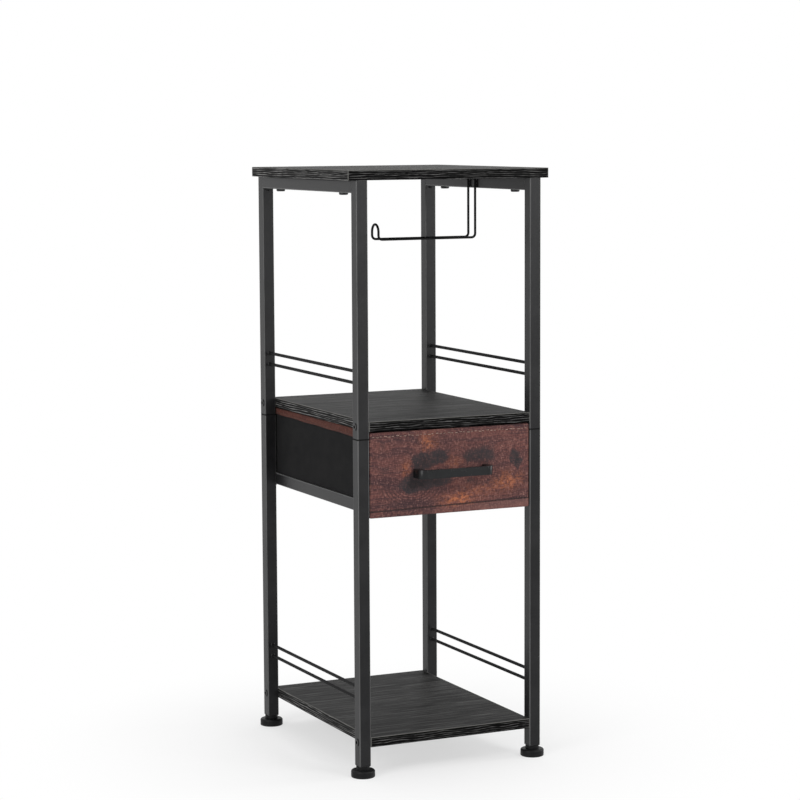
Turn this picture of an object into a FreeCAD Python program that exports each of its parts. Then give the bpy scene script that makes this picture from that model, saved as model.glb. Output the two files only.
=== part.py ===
import FreeCAD, Part
import math
import os

from FreeCAD import Placement, Rotation, Vector

# Open storage stand for toilet paper: a narrow steel-tube frame with three boards, a fabric drawer,
# a wire roll holder, guard rods and levelling feet. Millimetres, +Z up, front towards -Y. The origin
# is on the floor, under the middle of the whole box, with the handle at its front and the feet at its back.

# Frame of square steel tube
frame_width = 245.0
frame_depth = 304.0
frame_height = 725.0
tube_size = 15.0
tube_wall = 1.0
tube_corner = 1.5
filler_corner = 0.5

# Boards, by the heights of their undersides
board_thickness = 12.0
bottom_board_under = 36.5
middle_board_under = 417.0
top_board_width = 265.0
top_board_depth = 299.0

# Joint between the upper and lower legs
seam_drop = 9.0
joiner_depth = 30.0
joiner_over_bolt = 8.0
joiner_wall = 1.2
sliding_fit = 0.1

# Guard rods at the sides, above the middle and bottom boards
guard_rod_diameter = 4.0
guard_rod_height = 44.5
guard_rod_pitch = 14.0

# Levelling feet
foot_diameter = 29.0
foot_disc_height = 9.0
foot_rounding = 2.5
foot_rim_rounding = 1.2
foot_collar_diameter = 16.5
foot_collar_height = 4.5
foot_floor = 4.0
stem_diameter = 8.0
stem_in_plug_short = 1.0
thread_clearance = 0.08
plug_under_bolt = 2.0

# Low-head bolts through the legs into the ends of the boards
bolt_diameter = 6.0
bolt_head_diameter = 9.0
bolt_head_height = 1.0
bolt_head_rounding = 0.6
bolt_socket_flats = 4.0
bolt_socket_depth = 2.5
bolt_in_board = 22.0
insert_wall = 1.5
insert_length = 14.0
hole_clearance = 0.2
hole_end_gap = 2.0

# Pan-head screws up through the top rails
top_screw_spacing = 194.0
top_screw_diameter = 4.0
top_screw_head_diameter = 11.0
top_screw_head_height = 3.0
top_screw_in_board = 8.0

# Cross recess of every screw, as shares of its head
recess_length_share = 0.5
recess_width_share = 0.12
recess_depth_share = 0.45

# Wire roll holder under the top board
holder_wire_diameter = 3.0
holder_wire_spacing = 19.0
holder_bend_radius = 5.0
holder_rail_gap = 0.2
holder_arm_drop = 76.8
holder_arm_length = 134.0
holder_arch_rise = 18.6
holder_foot_length = 30.0
holder_plate_thickness = 2.0
holder_board_gap = 0.1
holder_screw_diameter = 3.5
holder_screw_head_diameter = 7.0
holder_screw_head_height = 2.2
holder_screw_in_board = 8.0
holder_screw_margin = 8.0

# Fabric drawer on its two rails
drawer_height = 83.0
drawer_top_gap = 1.7
drawer_side_gap = 2.0
drawer_back_gap = 4.0
drawer_panel = 3.0
drawer_floor = 1.5
runner_gap = 0.3
stop_gap = 0.3
rail_plug_length = 10.0
base_board = 3.0
base_board_gap = 1.0
hem_height = 10.0
hem_thickness = 0.8
front_thickness = 6.0
front_side_gap = 0.7
front_drop = 4.0
front_skin = 1.0
front_rounding = 1.5

# Bow handle of the drawer
handle_length = 100.0
handle_reach = 20.0
handle_height = 10.5
handle_band = 4.0
handle_leg = 8.0
handle_outer_radius = 10.0
handle_inner_radius = 6.0
handle_screw_diameter = 4.0
handle_screw_head_diameter = 8.0
handle_screw_head_height = 2.6
handle_screw_in_leg = 10.0
washer_diameter = 12.0
washer_thickness = 1.0

# Places that follow from the sizes above
X, Y, Z = Vector(1, 0, 0), Vector(0, 1, 0), Vector(0, 0, 1)
half_width = frame_width / 2
inner_x = half_width - tube_size
leg_x = half_width - tube_size / 2
foot_overhang = (foot_diameter - tube_size) / 2
front_y = (handle_reach - frame_depth - foot_overhang) / 2
back_y = front_y + frame_depth
leg_ys = {"front": front_y + tube_size / 2, "back": back_y - tube_size / 2}
sides = {"left": -1, "right": 1}
leg_end_z = foot_disc_height + foot_collar_height
seam_z = middle_board_under - seam_drop
top_board_under = frame_height - board_thickness
board_unders = {"bottom": bottom_board_under, "middle": middle_board_under}
bolt_zs = {name: under + board_thickness / 2 for name, under in board_unders.items()}
plug_top_z = bolt_zs["bottom"] - bolt_diameter / 2 - plug_under_bolt
drawer_top = middle_board_under - drawer_top_gap
drawer_bottom = drawer_top - drawer_height
drawer_rail_top = drawer_bottom - runner_gap
drawer_rail_under = drawer_rail_top - tube_size
drawer_half = inner_x - drawer_side_gap
front_inside_y = front_y + front_thickness
drawer_back_y = back_y - drawer_back_gap
drawer_rail_front_y = front_inside_y + stop_gap
drawer_rail_back_y = leg_ys["back"]
front_under = drawer_rail_under - front_drop
handle_z = (front_under + drawer_top) / 2
handle_screw_x = (handle_length - handle_leg) / 2
top_middle_y = front_y + top_board_depth / 2
frame_middle_y = (front_y + back_y) / 2

os.makedirs("parts", exist_ok=True)


def write_node(name, *solids):
    """Write the solids of one node to its own file."""
    shape = solids[0] if len(solids) == 1 else Part.makeCompound(list(solids))
    shape.exportStep(f"parts/{name}.step")


def box(x_low, x_high, y_low, y_high, z_low, z_high):
    """Block between two corners."""
    return Part.makeBox(x_high - x_low, y_high - y_low, z_high - z_low, Vector(x_low, y_low, z_low))


def rod(diameter, start, direction, length):
    """Round bar from a start point along a direction."""
    return Part.makeCylinder(diameter / 2, length, start, direction)


def square_bar(size, corner, start, direction, length):
    """Square bar around a straight line, its four long edges rounded."""
    half = size / 2
    bar = Part.makeBox(size, size, length, Vector(-half, -half, 0))
    long_edges = [edge for edge in bar.Edges if abs(edge.tangentAt(edge.FirstParameter).dot(Z)) > 0.9]
    bar = bar.makeFillet(corner, long_edges)
    bar.Placement = Placement(start, Rotation(Z, direction))
    return bar


def square_tube(start, direction, length):
    """Frame tube around a straight line, open at both ends."""
    outside = square_bar(tube_size, tube_corner, start, direction, length)
    half = tube_size / 2 - tube_wall
    inside = Part.makeBox(2 * half, 2 * half, length, Vector(-half, -half, 0))
    inside.Placement = Placement(start, Rotation(Z, direction))
    return outside.cut(inside)


def tube_filler(start, direction, length):
    """Square bar that slides into a frame tube."""
    size = tube_size - 2 * tube_wall - 2 * sliding_fit
    return square_bar(size, filler_corner, start, direction, length)


def turned(outline, centre):
    """Solid of revolution about Z from a half outline of lines and arcs."""
    face = Part.Face(Part.Wire(outline))
    solid = face.revolve(Vector(0, 0, 0), Z, 360)
    solid.translate(centre)
    return solid


def screw(diameter, head_diameter, head_height, length, tip_of_head, direction):
    """Pan-head screw with a cross recess: the seat of its head is at tip_of_head."""
    head = rod(head_diameter, Vector(0, 0, -head_height), Z, head_height)
    rim = [edge for edge in head.Edges if abs(edge.CenterOfMass.z + head_height) < head_height / 100]
    head = head.makeFillet(head_height / 2, rim)
    reach = head_diameter * recess_length_share / 2
    half = head_diameter * recess_width_share / 2
    floor = -head_height * (1 - recess_depth_share)
    recess = box(-reach, reach, -half, half, -head_height, floor)
    recess = recess.fuse(box(-half, half, -reach, reach, -head_height, floor))
    solid = head.cut(recess).fuse(rod(diameter, Vector(0, 0, 0), Z, length)).removeSplitter()
    solid.Placement = Placement(tip_of_head, Rotation(Z, direction))
    return solid


def low_head_bolt(seat, direction, length):
    """Low-head bolt with a six-sided socket: the seat of its head is at the given point."""
    head = rod(bolt_head_diameter, Vector(0, 0, -bolt_head_height), Z, bolt_head_height)
    rim = [edge for edge in head.Edges if abs(edge.CenterOfMass.z + bolt_head_height) < bolt_head_height / 100]
    head = head.makeFillet(bolt_head_rounding, rim)
    key_radius = bolt_socket_flats / math.sqrt(3)
    corners = []
    for corner in range(7):
        angle = corner * math.pi / 3
        corners.append(Vector(key_radius * math.cos(angle), key_radius * math.sin(angle), -bolt_head_height))
    socket = Part.Face(Part.makePolygon(corners)).extrude(Z * bolt_socket_depth)
    bolt = head.fuse(rod(bolt_diameter, Vector(0, 0, 0), Z, length)).removeSplitter().cut(socket)
    bolt.Placement = Placement(seat, Rotation(Z, direction))
    return bolt


def bent_wire(points, radii, diameter):
    """Round wire along straight runs joined by tangent arcs of the given radii."""
    edges = []
    start = points[0]
    for before, corner, after, radius in zip(points, points[1:], points[2:], radii):
        come = (corner - before).normalize()
        go = (after - corner).normalize()
        cut_back = radius * math.tan(come.getAngle(go) / 2)
        first = corner - come * cut_back
        last = corner + go * cut_back
        inward = (go - come).normalize()
        middle = corner + inward * (math.hypot(radius, cut_back) - radius)
        if (first - start).Length > diameter / 100:
            edges.append(Part.LineSegment(start, first).toShape())
        edges.append(Part.Arc(first, middle, last).toShape())
        start = last
    edges.append(Part.LineSegment(start, points[-1]).toShape())
    path = Part.Wire(edges)
    section = Part.Wire(Part.makeCircle(diameter / 2, points[0], points[1] - points[0]))
    return path.makePipeShell([section], True, False)


def upright_front_edges(block):
    """The two upright edges of a block that are nearer the front."""
    upright = [edge for edge in block.Edges if abs(edge.tangentAt(edge.FirstParameter).dot(Z)) > 0.9]
    return [edge for edge in upright if edge.CenterOfMass.y < block.BoundBox.Center.y]


def bolt_axis(side, end, board):
    """Point on a leg's outer face where a board's bolt goes in, and the way it points."""
    sign = sides[side]
    return Vector(sign * half_width, leg_ys[end], bolt_zs[board]), X * -sign


def leg_bolt_hole(side, end, board):
    """Hole through a leg for a board's bolt."""
    start, direction = bolt_axis(side, end, board)
    return rod(bolt_diameter + 2 * hole_clearance, start, direction, tube_size)


# Upper and lower legs, with the holes for the boards' bolts, and the joiners inside them at the seam
joiners = []
for side, sign in sides.items():
    for end, leg_y in leg_ys.items():
        foot_point = Vector(sign * leg_x, leg_y, leg_end_z)
        seam_point = Vector(sign * leg_x, leg_y, seam_z)
        lower_leg = square_tube(foot_point, Z, seam_z - leg_end_z)
        write_node(f"lower_leg_{end}_{side}", lower_leg.cut(leg_bolt_hole(side, end, "bottom")))
        upper_leg = square_tube(seam_point, Z, top_board_under - seam_z)
        write_node(f"upper_leg_{end}_{side}", upper_leg.cut(leg_bolt_hole(side, end, "middle")))
        joiner_length = joiner_depth + bolt_zs["middle"] - seam_z + joiner_over_bolt
        joiner = tube_filler(seam_point - Z * joiner_depth, Z, joiner_length)
        hollow = (tube_size - 2 * tube_wall - 2 * sliding_fit) / 2 - joiner_wall
        core = box(-hollow, hollow, -hollow, hollow, 0, joiner_length)
        core.translate(seam_point - Z * joiner_depth)
        joiners.append(joiner.cut(core).cut(leg_bolt_hole(side, end, "middle")))
write_node("leg_joiners", *joiners)

# Top rails between the upper legs, with the holes for the screws of the top board
top_screw_ys = [top_middle_y - top_screw_spacing / 2, top_middle_y + top_screw_spacing / 2]
rail_under = top_board_under - tube_size
for side, sign in sides.items():
    start = Vector(sign * leg_x, front_y + tube_size, top_board_under - tube_size / 2)
    rail = square_tube(start, Y, frame_depth - 2 * tube_size)
    for screw_y in top_screw_ys:
        hole_start = Vector(sign * leg_x, screw_y, rail_under)
        rail = rail.cut(rod(top_screw_diameter + 2 * hole_clearance, hole_start, Z, tube_size))
    write_node(f"top_rail_{side}", rail)

# Drawer rails against the inner faces of the lower legs, with a plug in each open end
rail_plugs = []
for side, sign in sides.items():
    rail_x = sign * (inner_x - tube_size / 2)
    rail_z = drawer_rail_top - tube_size / 2
    start = Vector(rail_x, drawer_rail_front_y, rail_z)
    finish = Vector(rail_x, drawer_rail_back_y, rail_z)
    write_node(f"drawer_rail_{side}", square_tube(start, Y, drawer_rail_back_y - drawer_rail_front_y))
    rail_plugs.append(tube_filler(start, Y, rail_plug_length))
    rail_plugs.append(tube_filler(finish, -Y, rail_plug_length))
write_node("rail_end_plugs", *rail_plugs)

# Guard rods between the front and back legs, two above each of the lower boards on each side
for board, under in board_unders.items():
    for side, sign in sides.items():
        for row, name in enumerate(("low", "high")):
            rod_z = under + board_thickness + guard_rod_height + row * guard_rod_pitch
            start = Vector(sign * leg_x, front_y + tube_size, rod_z)
            guard_rod = rod(guard_rod_diameter, start, Y, frame_depth - 2 * tube_size)
            write_node(f"guard_rod_{board}_{side}_{name}", guard_rod)

# Middle and bottom boards between the legs: a blind hole in each end takes an insert and its bolt
insert_diameter = bolt_diameter + 2 * insert_wall
bolts = []
inserts = []
for board, under in board_unders.items():
    panel = box(-inner_x, inner_x, front_y, back_y, under, under + board_thickness)
    for side in sides:
        for end in leg_ys:
            outside, inward = bolt_axis(side, end, board)
            board_end = outside + inward * tube_size
            hole = rod(insert_diameter + 2 * sliding_fit, board_end, inward, bolt_in_board + hole_end_gap)
            panel = panel.cut(hole)
            insert = rod(insert_diameter, board_end, inward, insert_length)
            insert = insert.cut(rod(bolt_diameter + 2 * sliding_fit, board_end, inward, insert_length))
            inserts.append(insert)
            bolts.append(low_head_bolt(outside, inward, tube_size + bolt_in_board))
    write_node(f"{board}_board", panel)
write_node("board_bolts", *bolts)
write_node("board_inserts", *inserts)

# Wire roll holder: one wire welded along both edges of a plate, down beside the right top rail, along the
# arm that the roll hangs on, and up into an arch at the arm's end
wire_radius = holder_wire_diameter / 2
wire_y = holder_wire_spacing / 2
drop_x = inner_x - holder_rail_gap - wire_radius
wire_top_z = top_board_under - holder_board_gap - wire_radius
arm_z = top_board_under - holder_arm_drop
arm_end_x = drop_x - holder_arm_length
plate_low_x = drop_x - holder_bend_radius - holder_foot_length
back_half = [
    Vector(plate_low_x, frame_middle_y + wire_y, wire_top_z),
    Vector(drop_x, frame_middle_y + wire_y, wire_top_z),
    Vector(drop_x, frame_middle_y + wire_y, arm_z),
    Vector(arm_end_x, frame_middle_y + wire_y, arm_z),
    Vector(arm_end_x, frame_middle_y + wire_y, arm_z + holder_arch_rise),
]
front_half = [Vector(point.x, point.y - holder_wire_spacing, point.z) for point in reversed(back_half)]
bends = [holder_bend_radius] * 3 + [wire_y]
holder = bent_wire(back_half + front_half, bends + bends[::-1], holder_wire_diameter)
write_node("roll_holder", holder)

# Plate of the holder and its two screws between the wires, up into the top board
plate_half = wire_y - wire_radius
plate_high_x = drop_x - holder_bend_radius
plate = box(plate_low_x, plate_high_x, frame_middle_y - plate_half, frame_middle_y + plate_half,
            top_board_under - holder_plate_thickness, top_board_under)
holder_screw_xs = [plate_low_x + holder_screw_margin, plate_high_x - holder_screw_margin]
holder_screw_points = [Vector(x, frame_middle_y, top_board_under - holder_plate_thickness)
                       for x in holder_screw_xs]
holder_screws = []
for point in holder_screw_points:
    plate = plate.cut(rod(holder_screw_diameter + 2 * hole_clearance, point, Z, holder_plate_thickness))
    holder_screws.append(screw(holder_screw_diameter, holder_screw_head_diameter, holder_screw_head_height,
                               holder_plate_thickness + holder_screw_in_board, point, Z))
write_node("roll_holder_plate", plate)
write_node("roll_holder_screws", *holder_screws)

# Top board on the rails, with blind holes for the rail screws and the holder's screws
top_board = box(-top_board_width / 2, top_board_width / 2, front_y, front_y + top_board_depth,
                top_board_under, frame_height)
top_screws = []
for sign in sides.values():
    for screw_y in top_screw_ys:
        seat = Vector(sign * leg_x, screw_y, rail_under)
        length = tube_size + top_screw_in_board
        top_screws.append(screw(top_screw_diameter, top_screw_head_diameter, top_screw_head_height,
                                length, seat, Z))
        top_board = top_board.cut(rod(top_screw_diameter + 2 * sliding_fit, seat, Z, length))
for point in holder_screw_points:
    length = holder_plate_thickness + holder_screw_in_board
    top_board = top_board.cut(rod(holder_screw_diameter + 2 * sliding_fit, point, Z, length))
write_node("top_board", top_board)
write_node("top_board_screws", *top_screws)

# Levelling feet: a round disc with a collar that meets the leg's end, a threaded stem moulded into it,
# and a plug in the leg's end that the stem turns in
foot_radius = foot_diameter / 2
collar_radius = foot_collar_diameter / 2
shoulder_radius = foot_radius - foot_rounding
shoulder_z = foot_disc_height - foot_rounding
slant = foot_rounding * math.sqrt(0.5)
rim_radius = foot_radius - foot_rim_rounding
rim_slant = foot_rim_rounding * math.sqrt(0.5)
bottom_middle = Vector(0, 0, 0)
bottom_edge = Vector(rim_radius, 0, 0)
rim_middle = Vector(rim_radius + rim_slant, 0, foot_rim_rounding - rim_slant)
rim_end = Vector(foot_radius, 0, foot_rim_rounding)
shoulder_start = Vector(foot_radius, 0, shoulder_z)
shoulder_middle = Vector(shoulder_radius + slant, 0, shoulder_z + slant)
shoulder_end = Vector(shoulder_radius, 0, foot_disc_height)
collar_low = Vector(collar_radius, 0, foot_disc_height)
collar_high = Vector(collar_radius, 0, leg_end_z)
top_middle = Vector(0, 0, leg_end_z)
outline = [
    Part.LineSegment(bottom_middle, bottom_edge).toShape(),
    Part.Arc(bottom_edge, rim_middle, rim_end).toShape(),
    Part.LineSegment(rim_end, shoulder_start).toShape(),
    Part.Arc(shoulder_start, shoulder_middle, shoulder_end).toShape(),
    Part.LineSegment(shoulder_end, collar_low).toShape(),
    Part.LineSegment(collar_low, collar_high).toShape(),
    Part.LineSegment(collar_high, top_middle).toShape(),
    Part.LineSegment(top_middle, bottom_middle).toShape(),
]
stem_length = plug_top_z - stem_in_plug_short - foot_floor
leg_plugs = []
for side, sign in sides.items():
    for end, leg_y in leg_ys.items():
        centre = Vector(sign * leg_x, leg_y, 0)
        foot = turned(outline, centre)
        foot = foot.cut(rod(stem_diameter + 2 * thread_clearance, centre + Z * foot_floor, Z, leg_end_z))
        write_node(f"foot_{end}_{side}", foot)
        write_node(f"foot_stem_{end}_{side}", rod(stem_diameter, centre + Z * foot_floor, Z, stem_length))
        plug_length = plug_top_z - leg_end_z
        plug = tube_filler(centre + Z * leg_end_z, Z, plug_length)
        bore = rod(stem_diameter + 2 * thread_clearance, centre + Z * leg_end_z, Z, plug_length)
        leg_plugs.append(plug.cut(bore))
write_node("leg_end_plugs", *leg_plugs)

# Drawer body: fabric-covered side and back panels, a fabric floor with a loose base board on it
panel_top = drawer_top - hem_thickness
side_panels = []
for side, sign in sides.items():
    outer = sign * drawer_half
    inner = sign * (drawer_half - drawer_panel)
    panel = box(min(outer, inner), max(outer, inner), front_inside_y, drawer_back_y, drawer_bottom, panel_top)
    side_panels.append(panel)
    write_node(f"drawer_side_{side}", panel)
clear_half = drawer_half - drawer_panel
clear_back_y = drawer_back_y - drawer_panel
back_panel = box(-clear_half, clear_half, clear_back_y, drawer_back_y, drawer_bottom, panel_top)
write_node("drawer_back", back_panel)
write_node("drawer_floor", box(-clear_half, clear_half, front_inside_y, clear_back_y,
                               drawer_bottom, drawer_bottom + drawer_floor))
write_node("drawer_base_board", box(-clear_half + base_board_gap, clear_half - base_board_gap,
                                    front_inside_y + base_board_gap, clear_back_y - base_board_gap,
                                    drawer_bottom + drawer_floor, drawer_bottom + drawer_floor + base_board))

# Hem folded over the top edges of the two sides and the back, in one strip
hem_low = drawer_top - hem_height
hem_outer = drawer_half + hem_thickness
hem_inner = clear_half - hem_thickness
hem_back_y = drawer_back_y + hem_thickness
hem = box(-hem_outer, hem_outer, front_inside_y, hem_back_y, hem_low, drawer_top)
hem = hem.cut(box(-hem_inner, hem_inner, front_inside_y, clear_back_y - hem_thickness, hem_low, drawer_top))
for panel in side_panels + [back_panel]:
    hem = hem.cut(panel)
write_node("drawer_hem", hem)

# Drawer front: a stiff board inside a sewn cover, both with the holes for the handle's screws
front_half_width = inner_x - front_side_gap
cover = box(-front_half_width, front_half_width, front_y, front_inside_y, front_under, drawer_top)
cover = cover.makeFillet(front_rounding, cover.Edges)
front_board = box(-front_half_width + front_skin, front_half_width - front_skin, front_y + front_skin,
                  front_inside_y - front_skin, front_under + front_skin, drawer_top - front_skin)
cover = cover.cut(front_board)

# Bow handle, with blind holes in its two legs, and the screws and washers inside the drawer
handle_half = handle_length / 2
handle_front_y = front_y - handle_reach
gap_half = handle_half - handle_leg
gap_front_y = handle_front_y + handle_band
handle_low = handle_z - handle_height / 2
handle_high = handle_z + handle_height / 2
handle = box(-handle_half, handle_half, handle_front_y, front_y, handle_low, handle_high)
handle = handle.makeFillet(handle_outer_radius, upright_front_edges(handle))
finger_gap = box(-gap_half, gap_half, gap_front_y, front_y, handle_low, handle_high)
finger_gap = finger_gap.makeFillet(handle_inner_radius, upright_front_edges(finger_gap))
handle = handle.cut(finger_gap)
handle_screws = []
washers = []
for sign in sides.values():
    inside = Vector(sign * handle_screw_x, front_inside_y, handle_z)
    washer_seat = inside + Y * washer_thickness
    hole = rod(handle_screw_diameter + 2 * hole_clearance, inside, -Y, front_thickness)
    cover = cover.cut(hole)
    front_board = front_board.cut(hole)
    washer = rod(washer_diameter, inside, Y, washer_thickness)
    washers.append(washer.cut(rod(handle_screw_diameter + 2 * hole_clearance, inside, Y, washer_thickness)))
    length = washer_thickness + front_thickness + handle_screw_in_leg
    handle_screws.append(screw(handle_screw_diameter, handle_screw_head_diameter, handle_screw_head_height,
                               length, washer_seat, -Y))
    handle = handle.cut(rod(handle_screw_diameter + 2 * sliding_fit, washer_seat, -Y, length))
write_node("drawer_front_cover", cover)
write_node("drawer_front_board", front_board)
write_node("drawer_handle", handle)
write_node("handle_screws", *handle_screws)
write_node("handle_washers", *washers)
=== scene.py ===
# Open bathroom storage stand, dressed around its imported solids: a narrow black steel-tube frame with three
# wood-grain boards, a fabric drawer, a wire roll holder, guard rods and levelling feet.
# Lengths are in metres, in the part's own frame: +Z up, -Y to the front, +X to the right.

import math

import bmesh
import bpy
from mathutils import Matrix, Vector


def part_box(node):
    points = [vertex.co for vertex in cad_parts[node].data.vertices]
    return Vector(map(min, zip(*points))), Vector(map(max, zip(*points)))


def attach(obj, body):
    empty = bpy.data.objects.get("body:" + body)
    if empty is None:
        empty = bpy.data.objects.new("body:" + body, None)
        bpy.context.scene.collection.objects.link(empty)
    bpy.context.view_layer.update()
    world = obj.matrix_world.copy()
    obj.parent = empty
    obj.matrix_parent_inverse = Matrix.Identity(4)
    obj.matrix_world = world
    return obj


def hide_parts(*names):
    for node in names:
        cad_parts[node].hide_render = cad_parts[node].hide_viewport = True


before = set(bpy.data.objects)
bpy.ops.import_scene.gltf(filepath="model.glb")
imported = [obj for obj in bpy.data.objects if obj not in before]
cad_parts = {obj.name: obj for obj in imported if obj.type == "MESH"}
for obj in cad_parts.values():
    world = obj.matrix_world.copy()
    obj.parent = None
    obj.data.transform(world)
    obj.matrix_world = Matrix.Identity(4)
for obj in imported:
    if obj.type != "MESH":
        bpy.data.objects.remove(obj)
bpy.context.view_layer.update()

# Tubes and rods of the frame
# Square steel tube and thin round rod, cut to length, welded into side frames and powder-coated black. Each
# leg is two tubes, which meet end to end at a seam just under the middle board. A pale painted highlight
# runs along the long edges of the tubes.

ends = ("front", "back")
sides = ("left", "right")


class Wire:
    """A socket of a finish. Sums written with wires add the nodes that work them out."""

    def __init__(self, tree, socket=None):
        self.tree = tree
        self.socket = socket

    def fill(self, made, sockets):
        """Sets a node's sockets to numbers, or links them to wires."""
        for name, value in sockets.items():
            if isinstance(value, Wire):
                self.tree.links.new(value.socket, made.inputs[name])
            else:
                made.inputs[name].default_value = value

    def node(self, kind, settings, sockets, outlet=0):
        """Adds a node of one type, with its settings, then the numbers or wires of its sockets."""
        made = self.tree.nodes.new("ShaderNode" + kind)
        for name, value in settings.items():
            setattr(made, name, value)
        self.fill(made, sockets)
        return Wire(self.tree, made.outputs[outlet])

    def beside(self, outlet):
        """Another outlet of the same node."""
        return Wire(self.tree, self.socket.node.outputs[outlet])

    def parts(self):
        """The x, y and z of a place or a direction."""
        x = self.node("SeparateXYZ", {}, {"Vector": self}, "X")
        return x, x.beside("Y"), x.beside("Z")

    def math(self, operation, *terms):
        """A Math node on one, two or three numbers or wires."""
        return self.node("Math", {"operation": operation}, dict(enumerate(terms)))

    def __add__(self, other):
        return self.math("ADD", self, other)

    def __sub__(self, other):
        return self.math("SUBTRACT", self, other)

    def __rsub__(self, other):
        return self.math("SUBTRACT", other, self)

    def __mul__(self, other):
        return self.math("MULTIPLY", self, other)

    def __abs__(self):
        return self.math("ABSOLUTE", self)

    __radd__ = __add__
    __rmul__ = __mul__

    def rise(self, low, high):
        """From 0 at low to 1 at high, smoothly; low may be the greater of the two."""
        sockets = {"Value": self, "From Min": low, "From Max": high}
        return self.node("MapRange", {"interpolation_type": "SMOOTHSTEP"}, sockets)

    def paint(self, under, over):
        """One colour laid over another, with this wire as the mask."""
        return self.node("Mix", {"data_type": "RGBA"}, {0: self, 6: under, 7: over}, 2)


def tone(red, green, blue):
    """A colour as a screen shows it, in parts of 255, as the linear colour that a shader takes."""
    shares = [part / 255 for part in (red, green, blue)]
    linear = [((share + 0.055) / 1.055) ** 2.4 if share > 0.04045 else share / 12.92 for share in shares]
    return (*linear, 1.0)


def new_finish(name):
    """A new material, and a wire with the place of its points, from which its other nodes are added."""
    material = bpy.data.materials.new(name)
    material.use_nodes = True
    return material, Wire(material.node_tree).node("TexCoord", {}, {}, "Object")


def grain(place, per_metre, detail, twist=0.0):
    """Noise with that many features to the metre along x, y and z."""
    stretched = place.node("VectorMath", {"operation": "MULTIPLY"}, {0: place, 1: per_metre})
    sockets = {"Vector": stretched, "Scale": 1.0, "Detail": detail, "Distortion": twist}
    return place.node("TexNoise", {}, sockets)


def close_finish(material, colour, roughness, height, depth, others):
    """Joins a finish to its shader: its colour, its roughness, its bump of that depth, and other sockets."""
    bump = height.node("Bump", {}, {"Strength": 1.0, "Distance": depth, "Height": height})
    shader = material.node_tree.nodes["Principled BSDF"]
    height.fill(shader, {"Base Color": colour, "Roughness": roughness, "Normal": bump, **others})


def plain_coat(name, dark, pale, clouds, skin, roughness, depth, gloss):
    """A coat of two close tones in clouds, with a skin of fine bumps; roughness is a least and a spread."""
    material, place = new_finish(name)
    cloudy = grain(place, *clouds)
    colour = cloudy.rise(0.35, 0.65).paint(dark, pale)
    least, spread = roughness
    others = {"Specular IOR Level": gloss}
    close_finish(material, colour, least + spread * cloudy, grain(place, *skin), depth, others)
    return material


def dress(material, names):
    """Gives CAD nodes a finish."""
    for name in names:
        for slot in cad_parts[name].material_slots:
            slot.material = material


def soften(names, width):
    """Rounds the sharp edges of CAD nodes, whose faces come in apart and are joined first."""
    for name in names:
        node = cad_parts[name]
        join = node.modifiers.new("join_faces", "WELD")
        join.merge_threshold = 0.000001
        edges = node.modifiers.new("soft_edges", "BEVEL")
        edges.width = width
        edges.segments = 3
        edges.limit_method = "ANGLE"
        edges.angle_limit = math.radians(40)
        edges.harden_normals = True


# The two grains of the powder coat: features to the metre along x, y and z, and detail
coat_clouds = ((30, 30, 30), 3)
coat_skin = ((1400, 1400, 1400), 2)
coat_depth = 0.00004
coat_gloss = 0.18
coat_dark = tone(24, 24, 25)
coat_pale = tone(31, 31, 32)
leg_seam_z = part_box("upper_leg_front_left")[0].z
leg_seam_half = 0.0006
leg_seam_fade = 0.0011

coat, place = new_finish("black_powder_coat")
cloudy = grain(place, *coat_clouds)
powder = grain(place, *coat_skin)
height = place.parts()[2]
seam = abs(height - leg_seam_z).rise(leg_seam_fade, leg_seam_half)
facing_x, facing_y, facing_z = place.beside("Normal").parts()
slant = abs(facing_x * facing_y) + abs(facing_x * facing_z) + abs(facing_y * facing_z)
arris = slant.rise(0.22, 0.45)
shade = cloudy.rise(0.35, 0.65).paint(coat_dark, coat_pale)
speckled = powder.rise(0.55, 0.75).paint(shade, tone(38, 38, 39))
# A pale painted highlight along the long edges of the tubes, where the surface turns from face to face
with_arris_highlight = (arris * (0.6 + 0.4 * cloudy)).paint(speckled, tone(92, 92, 92))
colour = seam.paint(with_arris_highlight, tone(3, 3, 3))
roughness = 0.28 + 0.1 * cloudy + 0.5 * seam
close_finish(coat, colour, roughness, powder, depth=coat_depth, others={"Specular IOR Level": coat_gloss})

legs = [f"{half}_leg_{end}_{side}" for half in ("upper", "lower") for end in ends for side in sides]
rails = [f"{kind}_rail_{side}" for kind in ("top", "drawer") for side in sides]
dress(coat, legs + rails)
soften(legs + rails, width=0.0007)

bays = ("bottom", "middle")
rods = [f"guard_rod_{bay}_{side}_{level}" for bay in bays for side in sides for level in ("low", "high")]
rod_coat = plain_coat("black_rod_coat", tone(14, 14, 15), tone(21, 21, 22), clouds=coat_clouds,
                      skin=coat_skin, roughness=(0.5, 0.12), depth=coat_depth, gloss=0.08)
dress(rod_coat, rods)

# Welds
# Small beads of weld under the coat: a tack below each rail where it meets a leg, and a thin fillet round
# each end of the guard rods.

tack_half = Vector((0.0036, 0.003, 0.0034))
tack_ripples = 9
tack_swell = 0.05
# The fillet cut across: out from just inside the rod's skin, and out from the leg's face
fillet = (
    (0.0, 0.001),
    (0.0003, 0.0005),
    (0.0007, 0.0002),
    (0.0011, 0.0),
    (0.0011, -0.0003),
    (0.0, -0.0003),
)
fillet_start = 0.95
fillet_steps = 20
fillet_lobes = 3
fillet_swell = 0.08
weld_coat = plain_coat("black_weld_coat", coat_dark, coat_pale, clouds=coat_clouds, skin=coat_skin,
                       roughness=(0.3, 0.1), depth=coat_depth, gloss=coat_gloss)


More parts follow.
